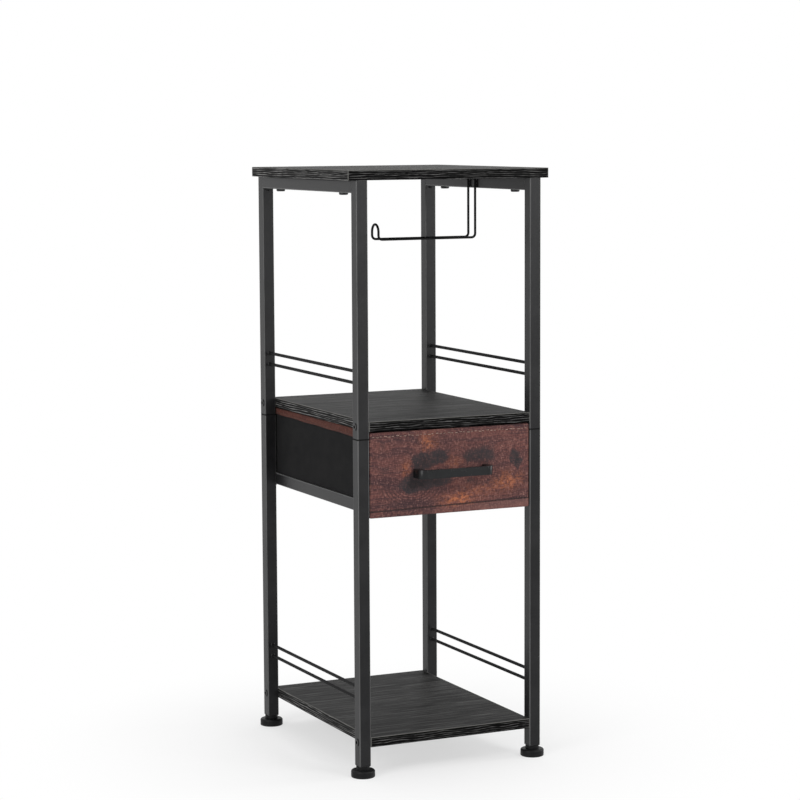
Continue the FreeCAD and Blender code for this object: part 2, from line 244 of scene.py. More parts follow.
def add_piece(name, made, material, body, lining=()):
    """Turns a bmesh into a smooth piece with a finish, on a body. The faces of a lining look inward."""
    bmesh.ops.recalc_face_normals(made, faces=made.faces)
    bmesh.ops.reverse_faces(made, faces=list(lining))
    for face in made.faces:
        face.smooth = True
    mesh = bpy.data.meshes.new(name)
    made.to_mesh(mesh)
    made.free()
    mesh.materials.append(material)
    piece = bpy.data.objects.new(name, mesh)
    bpy.context.scene.collection.objects.link(piece)
    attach(piece, body)
    return piece


def join_rings(made, rings):
    """Adds the faces between each ring of points and the next."""
    for here, there in zip(rings, rings[1:]):
        for step in range(len(here)):
            following = (step + 1) % len(here)
            made.faces.new((here[step], here[following], there[following], there[step]))


def add_tack(made, centre, turn):
    """Adds one tack of weld, a rippled lump half sunk into the corner that it fills."""
    lump = bmesh.ops.create_icosphere(made, subdivisions=3, radius=1.0)
    for vert in lump["verts"]:
        swell = 1 + tack_swell * math.cos(tack_ripples * vert.co.x)
        local = Vector([vert.co[axis] * tack_half[axis] for axis in range(3)]) * swell
        vert.co = centre + turn @ local


def add_fillet(made, centre, out, radius):
    """Adds the ring of weld round a rod's end, which stands out from the leg's face at that point."""
    rings = []
    for step in range(fillet_steps):
        angle = 2 * math.pi * step / fillet_steps
        spoke = Vector((math.cos(angle), 0, math.sin(angle)))
        swell = 1 + fillet_swell * math.sin(fillet_lobes * angle)
        ring = []
        for grow, stand in fillet:
            away = radius * fillet_start + grow * swell
            ring.append(made.verts.new(centre + spoke * away + out * stand))
        rings.append(ring)
    join_rings(made, rings + rings[:1])


tacks = bmesh.new()
straight = Matrix.Identity(3)
turned = Matrix.Rotation(math.pi / 2, 3, "Z")
for side in sides:
    rail_low, rail_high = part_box(f"top_rail_{side}")
    runner_low, runner_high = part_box(f"drawer_rail_{side}")
    leg_face = runner_low.x if side == "left" else runner_high.x
    for end, rail_end in zip(ends, (rail_low.y, rail_high.y)):
        add_tack(tacks, Vector(((rail_low.x + rail_high.x) / 2, rail_end, rail_low.z)), straight)
        leg_low, leg_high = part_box(f"lower_leg_{end}_{side}")
        add_tack(tacks, Vector((leg_face, (leg_low.y + leg_high.y) / 2, runner_low.z)), turned)
add_piece("rail_welds", tacks, weld_coat, "stand")

fillets = bmesh.new()
for name in rods:
    rod_low, rod_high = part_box(name)
    middle = (rod_low + rod_high) / 2
    radius = (rod_high.z - rod_low.z) / 2
    add_fillet(fillets, Vector((middle.x, rod_low.y, middle.z)), Vector((0, 1, 0)), radius)
    add_fillet(fillets, Vector((middle.x, rod_high.y, middle.z)), Vector((0, -1, 0)), radius)
add_piece("rod_welds", fillets, weld_coat, "stand")

# Joiners and plugs in the tubes
# Steel joiners slide into both halves of a leg at the seam, and moulded plugs close the ends of the legs and
# of the drawer's rails. The joiners are zinc-plated, and so are the feet's stems, the boards' inserts and
# the handle's screws and washers.

steel, place = new_finish("zinc_plated_steel")
brushed = grain(place, (900, 900, 60), 3)
spangle = grain(place, (160, 160, 160), 2)
colour = spangle.rise(0.3, 0.7).paint(tone(158, 160, 163), tone(190, 191, 190))
close_finish(steel, colour, 0.24 + 0.2 * brushed, brushed, depth=0.00001, others={"Metallic": 1.0})
stems = [f"foot_stem_{end}_{side}" for end in ends for side in sides]
dress(steel, ["leg_joiners", "board_inserts", "handle_screws", "handle_washers"] + stems)

plug_plastic, place = new_finish("plug_plastic")
flow = grain(place, (70, 70, 20), 3, 1.0)
texture = grain(place, (2200, 2200, 2200), 1)
colour = flow.rise(0.3, 0.7).paint(tone(26, 26, 27), tone(34, 34, 35))
roughness = 0.5 + 0.12 * flow
close_finish(plug_plastic, colour, roughness, texture, depth=0.00003, others={"Specular IOR Level": 0.4})
dress(plug_plastic, ["leg_end_plugs", "rail_end_plugs"])

# Levelling feet
# Black moulded plastic discs with a collar under the leg, each screwed into the leg's plug by a steel stem.
# The moulding is satin, a little rubbed round the rim that stands on the floor.

scuff_top = 0.0035
foot_plastic, place = new_finish("foot_plastic")
flow = grain(place, (60, 60, 120), 3, 0.6)
texture = grain(place, (1900, 1900, 1900), 2)
height = place.parts()[2]
scuff = height.rise(scuff_top, 0.0) * grain(place, (300, 300, 900), 3).rise(0.45, 0.7)
moulded = flow.rise(0.3, 0.7).paint(tone(11, 11, 12), tone(17, 17, 18))
colour = scuff.paint(moulded, tone(44, 44, 43))
roughness = 0.42 + 0.12 * flow + 0.2 * scuff
close_finish(foot_plastic, colour, roughness, texture, depth=0.00003, others={"Specular IOR Level": 0.15})
dress(foot_plastic, [f"foot_{end}_{side}" for end in ends for side in sides])

# Boards
# Particle board faced with black wood-grain foil, with a band of the same grain round its edges. The foil is
# embossed with pores, and its grain runs across the stand. A pale painted highlight runs along the arrises.

band_pitch = 0.0026
arris_reach = 0.0004
arris_fade = 0.0011
# Each board, and how far its stretch of the grain is shifted
grain_shifts = {
    "top": (0.0, 0.0, 0.0),
    "middle": (0.31, 0.17, 0.05),
    "bottom": (0.73, 0.44, 0.02),
}


def wood_grain(name, board, shift):
    """The black wood-grain foil of one board, with its own stretch of the grain."""
    material, where = new_finish(name)
    place = where.node("VectorMath", {"operation": "ADD"}, {0: where, 1: shift})
    x, y, z = place.parts()
    facing = where.beside("Normal").parts()
    end_band = abs(facing[0]).rise(0.6, 0.8)
    upright = 1 - abs(facing[2]).rise(0.6, 0.8)
    # On the faces the grain runs along x, and on the bands it runs round the board in wavy lines
    face_lines = place.node("VectorMath", {"operation": "MULTIPLY"}, {0: place, 1: (13, 600, 600)})
    band_lines = place.node("CombineXYZ", {}, {"X": (x + y) * (40 - 20 * end_band), "Z": z * 1100})
    lines = place.node("Mix", {"data_type": "VECTOR"}, {0: upright, 4: face_lines, 5: band_lines}, 1)
    wide = grain(lines, (0.3, 0.2, 0.2), 2)
    fine = grain(lines, (1, 1, 1), 1)
    pores = grain(lines, (2.4, 1.5, 1.2), 1)
    faint = fine.rise(0.48, 0.58) * (0.6 + 0.4 * wide.rise(0.35, 0.6))
    waver = grain(band_lines, (0.7, 1, 0.12), 2)
    wave = place.math("SINE", z * (2 * math.pi / band_pitch) + 12 * waver)
    broken = grain(band_lines, (1, 1, 1), 2).rise(0.42, 0.6)
    crisp = wave.rise(0.25, 0.9) * (0.2 + 0.8 * broken)
    streak = faint + (crisp - faint) * upright
    # The streaks are painted much brighter on the end bands than on the front and back bands: painted light
    # on the ends
    streaks_with_end_light = streak * (0.3 + (0.1 + 0.7 * end_band) * upright)
    base = wide.rise(0.35, 0.6).paint(tone(2, 2, 2), tone(6, 6, 6))
    streaked = streaks_with_end_light.paint(base, tone(136, 135, 134))
    pored = (0.8 * pores.rise(0.54, 0.64)).paint(streaked, tone(2, 2, 2))
    # Of a point's gaps to the sides, the ends and the top, the middle one tells how near an arris is
    low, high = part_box(board)
    middle = (low + high) / 2
    half = (high - low) / 2
    where_x, where_y, where_z = where.parts()
    gap_x = half.x - abs(where_x - middle.x)
    gap_y = half.y - abs(where_y - middle.y)
    gap_z = high.z - where_z
    least = place.math("MINIMUM", place.math("MINIMUM", gap_x, gap_y), gap_z)
    most = place.math("MAXIMUM", place.math("MAXIMUM", gap_x, gap_y), gap_z)
    to_arris = gap_x + gap_y + gap_z - least - most
    # A pale painted highlight along the arrises, broken up by the fine grain
    painted_arris_highlight = to_arris.rise(arris_fade, arris_reach) * (0.35 + 0.6 * fine)
    colour = painted_arris_highlight.paint(pored, tone(116, 115, 112))
    roughness = 0.62 - 0.14 * upright + 0.1 * streak
    emboss = streak * 0.7 + pores.rise(0.72, 0.55) * 0.3
    lacquer = {"Coat Weight": 0.46 - 0.46 * upright, "Coat Roughness": 0.5, "Coat IOR": 1.13}
    others = {"Specular IOR Level": 0.03, **lacquer}
    close_finish(material, colour, roughness, emboss, depth=0.00014, others=others)
    return material


for name, shift in grain_shifts.items():
    board = f"{name}_board"
    dress(wood_grain(f"black_wood_grain_{name}", board, shift), [board])
    soften([board], width=0.0006)

# Bolts and screws
# Black low-head bolts through the legs into the boards, and pan-head screws under the top board. Their black
# plating is thin, and a little worn in patches.

fastener, place = new_finish("black_plated_fastener")
drawn = grain(place, (700, 700, 700), 3)
patchy = grain(place, (220, 220, 220), 2)
colour = patchy.rise(0.45, 0.75).paint(tone(22, 22, 23), tone(46, 45, 44))
close_finish(fastener, colour, 0.3 + 0.2 * drawn, drawn, depth=0.00001, others={"Metallic": 0.4})
dress(fastener, ["board_bolts", "top_board_screws", "roll_holder_screws"])

# Roll holder
# One black-dipped steel wire, bent to a long arm with an arch at its free end as a stop. It is welded along
# both edges of a small plate, which is screwed under the top board.

dipped = plain_coat("black_dipped_wire", tone(8, 8, 9), tone(14, 14, 15), clouds=((120, 120, 60), 3, 0.8),
                    skin=((900, 900, 900), 1), roughness=(0.4, 0.12), depth=0.00002, gloss=0.1)
dress(dipped, ["roll_holder", "roll_holder_plate"])

# Drawer body
# Black nonwoven fabric sewn round stiff card: two sides, a back and a floor with a loose hardboard base laid
# on it. The panels belly a little between their seams, and the floor sags between the rails.

dimple_pitch = 0.0024
nonwoven, place = new_finish("black_nonwoven")
x, y, z = place.parts()
dimple_turns = 2 * math.pi / dimple_pitch
run = (x + y) * dimple_turns
climb = (z + 0.5 * (x - y)) * dimple_turns
dimples = (place.math("SINE", run + climb) * place.math("SINE", run - climb)).rise(0.1, 0.75)
fibres = grain(place, (1100, 1100, 1100), 4, 1.5)
cloudy = grain(place, (60, 60, 60), 3)
fluffy = fibres.rise(0.4, 0.7).paint(tone(11, 11, 12), tone(21, 21, 22))
dusty = (cloudy.rise(0.3, 0.7) * 0.35).paint(fluffy, tone(31, 30, 30))
colour = (dimples * 0.5).paint(dusty, tone(11, 11, 12))
pile = fibres * 0.4 - dimples * 0.6
others = {"Specular IOR Level": 0.09, "Sheen Weight": 0.02, "Sheen Roughness": 0.5}
close_finish(nonwoven, colour, 0.82 + 0.12 * fibres, pile, depth=0.00014, others=others)


def cuts(low, high, radius, spacing):
    """Places of the cuts along one side of a panel: close together round its edges, then even."""
    turn = [radius * (1 - math.tan(math.radians(angle))) for angle in (45, 30, 15, 0)]
    inner = high - low - 2 * radius
    count = max(1, round(inner / spacing))
    even = [low + radius + inner * step / count for step in range(1, count)]
    return [low + step for step in turn] + even + [high - step for step in reversed(turn)]


def soft_panel(made, low, high, radius, spacing, shape):
    """Adds a closed panel with rounded edges, in even cells whose points the function shape then moves."""
    places = [cuts(low[axis], high[axis], radius, spacing[axis]) for axis in range(3)]
    known = {}
    added = []

    def corner(index):
        """The panel's point at these three cuts, which the cells round it share."""
        if index not in known:
            point = Vector([places[axis][index[axis]] for axis in range(3)])
            core = point.copy()
            for axis in range(3):
                core[axis] = min(max(point[axis], low[axis] + radius), high[axis] - radius)
            known[index] = made.verts.new(shape(core + (point - core).normalized() * radius))
        return known[index]

    for axis in range(3):
        one = (axis + 1) % 3
        two = (axis + 2) % 3
        for level in (0, len(places[axis]) - 1):
            for first in range(len(places[one]) - 1):
                for second in range(len(places[two]) - 1):
                    square = []
                    for add_one, add_two in ((0, 0), (1, 0), (1, 1), (0, 1)):
                        index = [0, 0, 0]
                        index[axis] = level
                        index[one] = first + add_one
                        index[two] = second + add_two
                        square.append(corner(tuple(index)))
                    added.append(made.faces.new(square))
    return added


def bell(distance, width):
    """1 at no distance, falling smoothly to almost 0 at twice the width."""
    return math.exp(-((distance / width) ** 2))


panel_radius = 0.0004
panel_radius_share = 0.45
panel_spacing = (0.004, 0.004, 0.004)
belly = 0.0008
panel_seam_up = 0.004
panel_seam_dip = 0.00035
panel_seam_width = 0.0012
settle = 0.00025
floor_sag = 0.0012


def add_panel(name, axis, inward, sag=0.0):
    """Adds a fabric panel in place of its solid. It bellies along an axis; an upright one has a seam."""
    low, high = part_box(name)
    low.z -= settle
    wide, tall = [other for other in range(3) if other != axis]
    radius = min(panel_radius, (high[axis] - low[axis]) * panel_radius_share)

    def shape(point):
        """Where a point of the flat panel goes."""
        share_wide = (point[wide] - low[wide]) / (high[wide] - low[wide])
        share_tall = (point[tall] - low[tall]) / (high[tall] - low[tall])
        swell = math.sin(math.pi * share_wide) * math.sin(math.pi * share_tall)
        moved = point.copy()
        moved[axis] += inward * (belly * swell)
        if axis == 2:
            moved[axis] -= sag * swell
        else:
            dip = panel_seam_dip * bell(point.z - low.z - panel_seam_up, panel_seam_width)
            middle = (low[axis] + high[axis]) / 2
            moved[axis] -= math.copysign(dip, point[axis] - middle)
        return moved

    made = bmesh.new()
    soft_panel(made, low, high, radius, panel_spacing, shape)
    piece = add_piece(f"{name}_cloth", made, nonwoven, "drawer")
    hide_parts(name)


add_panel("drawer_side_left", 0, 1.0)
add_panel("drawer_side_right", 0, -1.0)
add_panel("drawer_back", 1, -1.0)
add_panel("drawer_floor", 2, 0.0, floor_sag)

hardboard, place = new_finish("hardboard")
fleck = grain(place, (420, 420, 420), 4, 1.2)
cloudy = grain(place, (40, 40, 40), 3)
pressed = cloudy.rise(0.3, 0.7).paint(tone(84, 60, 42), tone(104, 77, 55))
colour = fleck.rise(0.56, 0.72).paint(pressed, tone(63, 44, 31))
close_finish(hardboard, colour, 0.42 + 0.2 * fleck, fleck, depth=0.00004, others={})
dress(hardboard, ["drawer_base_board", "drawer_front_board"])

# Drawer hem
# A strip of the printed fabric, folded over the top edges of the sides and the back and sewn through with
# one row of brown thread on each face. It shares its print with the drawer's front, darkened here by painted
# shade.

weave_pitch = 0.0008
print_low, print_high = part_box("drawer_front_cover")
seam_left_z = 0.3208
seam_right_z = 0.3245
seam_climb = (seam_right_z - seam_left_z) / (print_high.x - print_low.x)
# Painted shade in the fold of the bottom seam: gone beyond the first distance from it, full within the
# second
seam_fold_painted_shade = (0.0014, 0.0005)
# Under the seam the print is faded, more and more towards the right
strip_edge = (-0.0004, -0.0016)
strip_fade = (-0.06, 0.1)
# Each spot of the print: across, up, half its width, half its height, and its strength
knots = (
    (-0.038, 0.3785, 0.015, 0.012, 1.1),
    (-0.013, 0.3830, 0.012, 0.009, 1.0),
    (0.026, 0.3810, 0.016, 0.011, 0.65),
    (0.050, 0.3800, 0.015, 0.012, 0.7),
    (0.086, 0.3790, 0.0065, 0.010, 1.0),
    (0.091, 0.3690, 0.0055, 0.009, 0.9),
    # The next three spots, just under the handle, are partly dark knots of the print and partly the handle's
    # painted shadow
    (-0.052, 0.3515, 0.016, 0.010, 1.5),
    (-0.022, 0.3530, 0.022, 0.008, 1.2),
    (0.030, 0.3500, 0.020, 0.006, 0.5),
    (-0.088, 0.3945, 0.013, 0.012, 0.4),
    (-0.087, 0.3690, 0.016, 0.010, 0.45),
)
glows = (
    (0.009, 0.3290, 0.020, 0.007, 1.2),
    (-0.030, 0.4000, 0.010, 0.009, 0.9),
    (0.078, 0.3470, 0.016, 0.009, 0.9),
    (-0.059, 0.3700, 0.006, 0.009, 0.55),
    (0.045, 0.3390, 0.030, 0.008, 0.4),
    (0.004, 0.3730, 0.009, 0.008, 0.5),
)
# Growth rings lie below one knot, between an inner and an outer distance from its middle
ring_middle_x = -0.050
ring_middle_z = 0.352
ring_squash = 1.5
ring_pitch = 0.0045
ring_inner = (0.012, 0.020)
ring_outer = (0.052, 0.034)
ring_below = (0.004, -0.012)


def spot(across, up, mark):
    """Most in the middle of a spot of the print, falling smoothly to 0 round it."""
    centre_across, centre_up, half_across, half_up, strength = mark
    aside = (across - centre_across) * (1 / half_across)
    above = (up - centre_up) * (1 / half_up)
    return strength * across.math("EXPONENT", -1 * (aside * aside + above * above))


def all_spots(across, up, marks):
    """The spots of one kind together."""
    together = spot(across, up, marks[0])
    for mark in marks[1:]:
        together = together + spot(across, up, mark)
    return together


def streaks(along, over, layer, detail):
    """Noise over two wires that count its features along and over the print, in a layer of its own."""
    spread = along.node("CombineXYZ", {}, {"X": along, "Y": over, "Z": layer})
    return grain(spread, (1, 1, 1), detail)


def wood_print(name, shade, painted_shade_tone, gloss):
    """Woven fabric printed with brown wood. Shade is how much painted shade, a darker tone, lies over it."""
    material, place = new_finish(name)
    x, y, z = place.parts()
    run = x + y
    ragged = 0.010 * grain(place, (170, 170, 170), 3) + 0.007 * grain(place, (560, 560, 560), 2) - 0.0085
    across = x + 0.010 * grain(place, (55, 55, 55), 2) - 0.005 + ragged
    up = z + 0.008 * grain(place, (80, 80, 80), 2) - 0.004 + ragged
    knot = all_spots(across, up, knots)
    glow = all_spots(across, up, glows)
    # The grain wanders, and flows round the knots
    wander = grain(place, (9, 9, 9), 2)
    flow = z + 0.03 * wander + 0.016 * knot
    band = streaks(run * 9, flow * 70, 0.3, 3)
    line = streaks(run * 14, flow * 520, 0.7, 3)
    hair = streaks(run * 40, flow * 1500, 1.9, 2)
    mottle = streaks(run * 230, z * 800, 4.1, 2) + streaks(run * 800, z * 230, 7.3, 2)
    blotch = grain(place, (55, 55, 55), 4, 0.8)
    patch = grain(place, (230, 230, 330), 3, 0.5)
    wood = band.rise(0.3, 0.7).paint(tone(66, 43, 46), tone(107, 66, 61))
    wood = (blotch.rise(0.42, 0.7) * 0.5).paint(wood, tone(121, 76, 68))
    wood = (line.rise(0.49, 0.6) * 0.6).paint(wood, tone(58, 41, 45))
    wood = (hair.rise(0.52, 0.72) * 0.35).paint(wood, tone(142, 97, 88))
    wood = (glow * (0.15 + 0.85 * patch.rise(0.4, 0.62))).paint(wood, tone(176, 104, 68))
    # Pale and dark flecks: partly the print's own speckle, partly painted highlights and painted shade on
    # the weave
    wood = (mottle.rise(1.03, 1.3) * 0.5).paint(wood, tone(166, 120, 110))
    wood = (mottle.rise(0.98, 0.72) * 0.65).paint(wood, tone(44, 30, 34))
    # The growth rings, then the knots and their cores over them
    ring_aside = x - ring_middle_x + 0.004 * wander
    ring_above = (z - ring_middle_z + 0.006 * wander) * ring_squash
    ring_far = place.math("SQRT", ring_aside * ring_aside + ring_above * ring_above)
    ring_turns = (ring_far + 0.003 * blotch) * (2 * math.pi / ring_pitch)
    rings = place.math("SINE", ring_turns).rise(-0.2, 0.8)
    ringed = ring_far.rise(*ring_inner) * ring_far.rise(*ring_outer) * ring_above.rise(*ring_below)
    wood = (rings * ringed * (0.2 + 0.8 * blotch)).paint(wood, tone(56, 40, 42))
    dark = (knot * (0.6 + 0.6 * blotch)).rise(0.24, 0.62)
    wood = (dark * (1.5 - 0.65 * mottle)).paint(wood, tone(46, 44, 47))
    core = (knot * (0.5 + blotch)).rise(0.75, 1.5)
    wood = (core * (1.45 - 0.6 * mottle)).paint(wood, tone(28, 27, 29))
    # The strip under the bottom seam, and a painted shade in the seam's fold
    over_seam = z - (seam_left_z + seam_right_z) / 2 - x * seam_climb
    faded = over_seam.rise(*strip_edge) * x.rise(*strip_fade) * (0.1 + 0.5 * blotch)
    wood = faded.paint(wood, tone(146, 106, 98))
    wood = (abs(over_seam).rise(*seam_fold_painted_shade) * 0.75).paint(wood, tone(32, 22, 22))
    # Painted shade: the gaps between the threads always take some of the darker tone, and shade lays more
    # over all of it
    turns = math.pi / weave_pitch
    threads = abs(place.math("SINE", run * turns) * place.math("SINE", z * turns))
    colour = ((1 - threads).rise(0.35, 1.0) * 0.35 + shade).paint(wood, painted_shade_tone)
    weave = threads * 0.7 + mottle * 0.3
    others = {"Specular IOR Level": gloss, "Sheen Weight": 0.2 * gloss, "Sheen Roughness": 0.4}
    close_finish(material, colour, 0.64 + 0.1 * mottle, weave, depth=0.0002, others=others)
    return material


# The hem's copy of the print is darkened by painted shade, half of a darker brown tone
shaded_hem_print = wood_print("hem_shaded_wood_print", shade=0.5, painted_shade_tone=tone(64, 34, 23), gloss=0.09)


def sewing_thread(name, dark, pale):
    """Twisted polyester thread in one colour, soiled in places."""
    material, place = new_finish(name)
    twist = grain(place, (2500, 2500, 2500), 2)
    soil = grain(place, (130, 130, 130), 2)
    clean = twist.rise(0.35, 0.65).paint(dark, pale)
    colour = (0.8 * soil.rise(0.48, 0.6)).paint(clean, dark)
    roughness = 0.5 + 0.2 * twist
    close_finish(material, colour, roughness, twist, depth=0.00004, others={"Specular IOR Level": 0.35})
    return material


brown_thread = sewing_thread("brown_thread", tone(58, 38, 34), tone(92, 62, 55))
# Each row of stitches: from one to the next, the length of one, and the thread's radius
hem_sewing = (0.0036, 0.0026, 0.00028)
# A stitch from end to end: how far along its half, its height over the cloth and its thickness, in radii
stitch_rings = (
    (-1.0, -1.2, 0.7),
    (-0.75, 0.1, 0.95),
    (-0.3, 0.55, 1.0),
    (0.3, 0.55, 1.0),
    (0.75, 0.1, 0.95),
    (1.0, -1.2, 0.7),
)
stitch_sides = 6
# An uneven row strays by two sines, which turn this far from one stitch to the next, in radians
stray_turn = 1.9
lean_turn = 2.4
# The most that it strays: across in thread radii, along in steps, and as a share of a stitch's length
stray_across = 2.0
stray_along = 0.2
stray_length = 0.4


def add_stitch(made, centre, ahead, out, length, radius):
    """Adds one stitch: a short thread that dips into the cloth at both ends."""
    aside = ahead.cross(out)
    rings = []
    for share, lift, thickness in stitch_rings:
        middle = centre + ahead * (share * length / 2) + out * (lift * radius)
        ring = []
        for step in range(stitch_sides):
            angle = 2 * math.pi * step / stitch_sides
            spoke = aside * math.cos(angle) + out * math.sin(angle)
            ring.append(made.verts.new(middle + spoke * (thickness * radius)))
        rings.append(ring)
    join_rings(made, rings)
    made.faces.new(rings[0])
    made.faces.new(rings[-1])


def add_stitch_run(made, start, finish, out, sewing, uneven=0.0):
    """Adds a row of stitches between two points on the cloth. In an uneven row they stray a little."""
    pitch, stitch, radius = sewing
    length = (finish - start).length
    ahead = (finish - start) / length
    across = ahead.cross(out)
    count = int(length / pitch)
    for step in range(count):
        stray = uneven * math.sin(step * stray_turn)
        lean = uneven * math.sin(step * lean_turn)
        along = (step + 0.5 + stray_along * lean) * length / count
        centre = start + ahead * along + across * (stray_across * radius * stray)
        add_stitch(made, centre, ahead, out, stitch * (1 + stray_length * lean), radius)


hem_low, hem_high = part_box("drawer_hem")
side_low, side_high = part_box("drawer_side_right")
back_low, back_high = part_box("drawer_back")
panel_middle_x = (side_low.x + side_high.x) / 2
panel_middle_y = (back_low.y + back_high.y) / 2
panel_half = (side_high.x - side_low.x) / 2
hem_half = hem_high.x - panel_middle_x
fold = hem_half - panel_half
hem_bend = 0.0026
bend_steps = 6
hem_step = 0.003
hem_row_up = 0.0018
hem_turn = 0.0012
hem_rise = 0.0009
hem_narrower = 0.0032
hem_waver = 0.0005
waver_turn = 90
hem_pucker = 0.00012
pucker_turn = 2.4
row_inset = 0.002


def hem_path():
    """The hem's line in plan, round the sides and the back: each point, and the direction to the outside."""
    turn_x = panel_middle_x - hem_bend
    turn_y = panel_middle_y - hem_bend
    side_run = turn_y - hem_low.y
    side_steps = round(side_run / hem_step)
    back_steps = round(turn_x / hem_step)
    line = []
    for step in range(side_steps):
        point = Vector((-panel_middle_x, hem_low.y + side_run * step / side_steps, 0))
        line.append((point, Vector((-1, 0, 0))))
    for step in range(bend_steps + 1):
        angle = math.pi - math.pi / 2 * step / bend_steps
        out = Vector((math.cos(angle), math.sin(angle), 0))
        line.append((Vector((-turn_x, turn_y, 0)) + out * hem_bend, out))
    for step in range(1, back_steps + 1):
        point = Vector((-turn_x + turn_x * step / back_steps, panel_middle_y, 0))
        line.append((point, Vector((0, 1, 0))))
    for point, out in reversed(line[:-1]):
        line.append((Vector((-point.x, point.y, 0)), Vector((-out.x, out.y, 0))))
    return line


def hem_edge(along):
    """The height of the hem's lower edge, which was sewn narrower towards the back and wavers a little."""
    share = (along - hem_low.y) / (hem_high.y - hem_low.y)
    return hem_low.z + hem_narrower * share + hem_waver * (1 + math.sin(along * waver_turn)) / 2


def hem_profile(pucker, low):
    """The hem cut across: out from the panel's middle, and up. It starts at its outer lower edge."""
    outside = hem_half - pucker
    high = hem_high.z + hem_rise
    over = [(outside, low), (outside, low + hem_row_up), (outside, high - hem_turn)]
    for angle in (30, 60, 90):
        turn = math.radians(angle)
        over.append((outside - hem_turn * (1 - math.cos(turn)), high - hem_turn * (1 - math.sin(turn))))
    over += [(-out, up) for out, up in reversed(over)]
    under = [(-panel_half, low), (-panel_half, high - fold), (panel_half, high - fold), (panel_half, low)]
    return over + under


hem = bmesh.new()
loops = []
for step, (point, out) in enumerate(hem_path()):
    pucker = hem_pucker * (1 + math.sin(step * pucker_turn)) / 2
    section = hem_profile(pucker, hem_edge(point.y))
    loops.append([hem.verts.new(point + out * away + Vector((0, 0, up))) for away, up in section])
join_rings(hem, loops)
hem.faces.new(loops[0])
hem.faces.new(loops[-1])
hem_strip = add_piece("drawer_hem_strip", hem, shaded_hem_print, "drawer")
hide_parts("drawer_hem")

hem_stitches = bmesh.new()
row_front = hem_low.y + row_inset
row_back = panel_middle_y - hem_bend
row_side = panel_middle_x - hem_bend
back_row_z = hem_edge(panel_middle_y) + hem_row_up
for sign in (-1, 1):
    for face, away in ((sign, hem_half), (-sign, -hem_half)):
        side_x = sign * (panel_middle_x + away)
        start = Vector((side_x, row_front, hem_edge(row_front) + hem_row_up))
        finish = Vector((side_x, row_back, hem_edge(row_back) + hem_row_up))
        add_stitch_run(hem_stitches, start, finish, Vector((face, 0, 0)), hem_sewing)
    start = Vector((-row_side, panel_middle_y + sign * hem_half, back_row_z))
    finish = Vector((row_side, panel_middle_y + sign * hem_half, back_row_z))
    add_stitch_run(hem_stitches, start, finish, Vector((0, sign, 0)), hem_sewing)
add_piece("drawer_hem_stitches", hem_stitches, brown_thread, "drawer")

# Drawer front
# A stiff board in a sewn cover of woven fabric, printed with a rustic brown wood pattern. The cover's top
# edge is sewn with a straying row of pale thread, and a slightly skew seam closes it along the bottom.

cover_radius = 0.002
cover_spacing = (0.0009, 0.003, 0.0012)
edge_drop = 0.0005
edge_reach = 0.012
top_row_z = 0.4100
top_sewing = (0.0052, 0.0032, 0.00042)
top_uneven = 0.6
top_dip = 0.0003
top_pucker = 0.00015
top_width = 0.0011
low_sewing = (0.0044, 0.0032, 0.0003)
low_dip = 0.0004
low_width = 0.0008
# Between the two rows the cloth is one layer thinner, but less so under the handle
layer = 0.00025
layer_low_step = 0.0004
layer_top_step = 0.001
handle_share = 0.6
handle_z = 0.364
handle_reach_x = 0.07
handle_reach_z = 0.01
# The cloth's faint ripples: their depth, then their turns to the metre and where they start, in radians
ripple_depth = 0.00012
ripple_across = 140
ripple_up = 210
ripple_skew = 60
ripple_start = 1.3
lining_room = 0.00005
lining_radius = 0.0003
lining_spacing = (0.02, 0.002, 0.02)
row_depth = 0.00055


def seam_height(across):
    """The height of the bottom seam, which climbs a little to the right."""
    return seam_left_z + (across - print_low.x) * seam_climb


def smooth(value, low, high):
    """From 0 at low to 1 at high, smoothly."""
    share = min(max((value - low) / (high - low), 0.0), 1.0)
    return share * share * (3 - 2 * share)


def cover_shape(point):
    """Presses the cover's face in: towards its edges, along its seams, and where it is one layer thinner."""
    front_share = (print_high.y - point.y) / (print_high.y - print_low.y)
    to_edge = min(print_high.x - abs(point.x), point.z - print_low.z, print_high.z - point.z)
    press = edge_drop * (1 - smooth(to_edge, 0.0, edge_reach))
    pucker = 0.5 + 0.5 * math.cos(2 * math.pi * point.x / top_sewing[0])
    press += (top_dip + top_pucker * pucker) * bell(point.z - top_row_z, top_width)
    low_seam = seam_height(point.x)
    press += low_dip * bell(point.z - low_seam, low_width)
    over_low = smooth(point.z, low_seam - layer_low_step, low_seam + layer_low_step)
    under_top = 1 - smooth(point.z, top_row_z, top_row_z + layer_top_step)
    inside = over_low * under_top
    at_handle = abs(point.x) < handle_reach_x and abs(point.z - handle_z) < handle_reach_z
    press += layer * inside * (handle_share if at_handle else 1.0)
    ripple = math.sin(point.x * ripple_across + ripple_start)
    ripple *= math.sin(point.z * ripple_up + point.x * ripple_skew)
    press += ripple_depth * (1 + ripple) / 2 * inside
    return Vector((point.x, point.y + press * front_share, point.z))


cover = bmesh.new()
soft_panel(cover, print_low, print_high, cover_radius, cover_spacing, cover_shape)
stiff_low, stiff_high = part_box("drawer_front_board")
room = Vector((lining_room, lining_room, lining_room))
lining = soft_panel(cover, stiff_low - room, stiff_high + room, lining_radius, lining_spacing, Vector.copy)
front_print = wood_print("front_wood_print", shade=0.0, painted_shade_tone=tone(46, 31, 31), gloss=0.2)
front_cover = add_piece("drawer_front_cloth", cover, front_print, "drawer", lining)
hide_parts("drawer_front_cover")

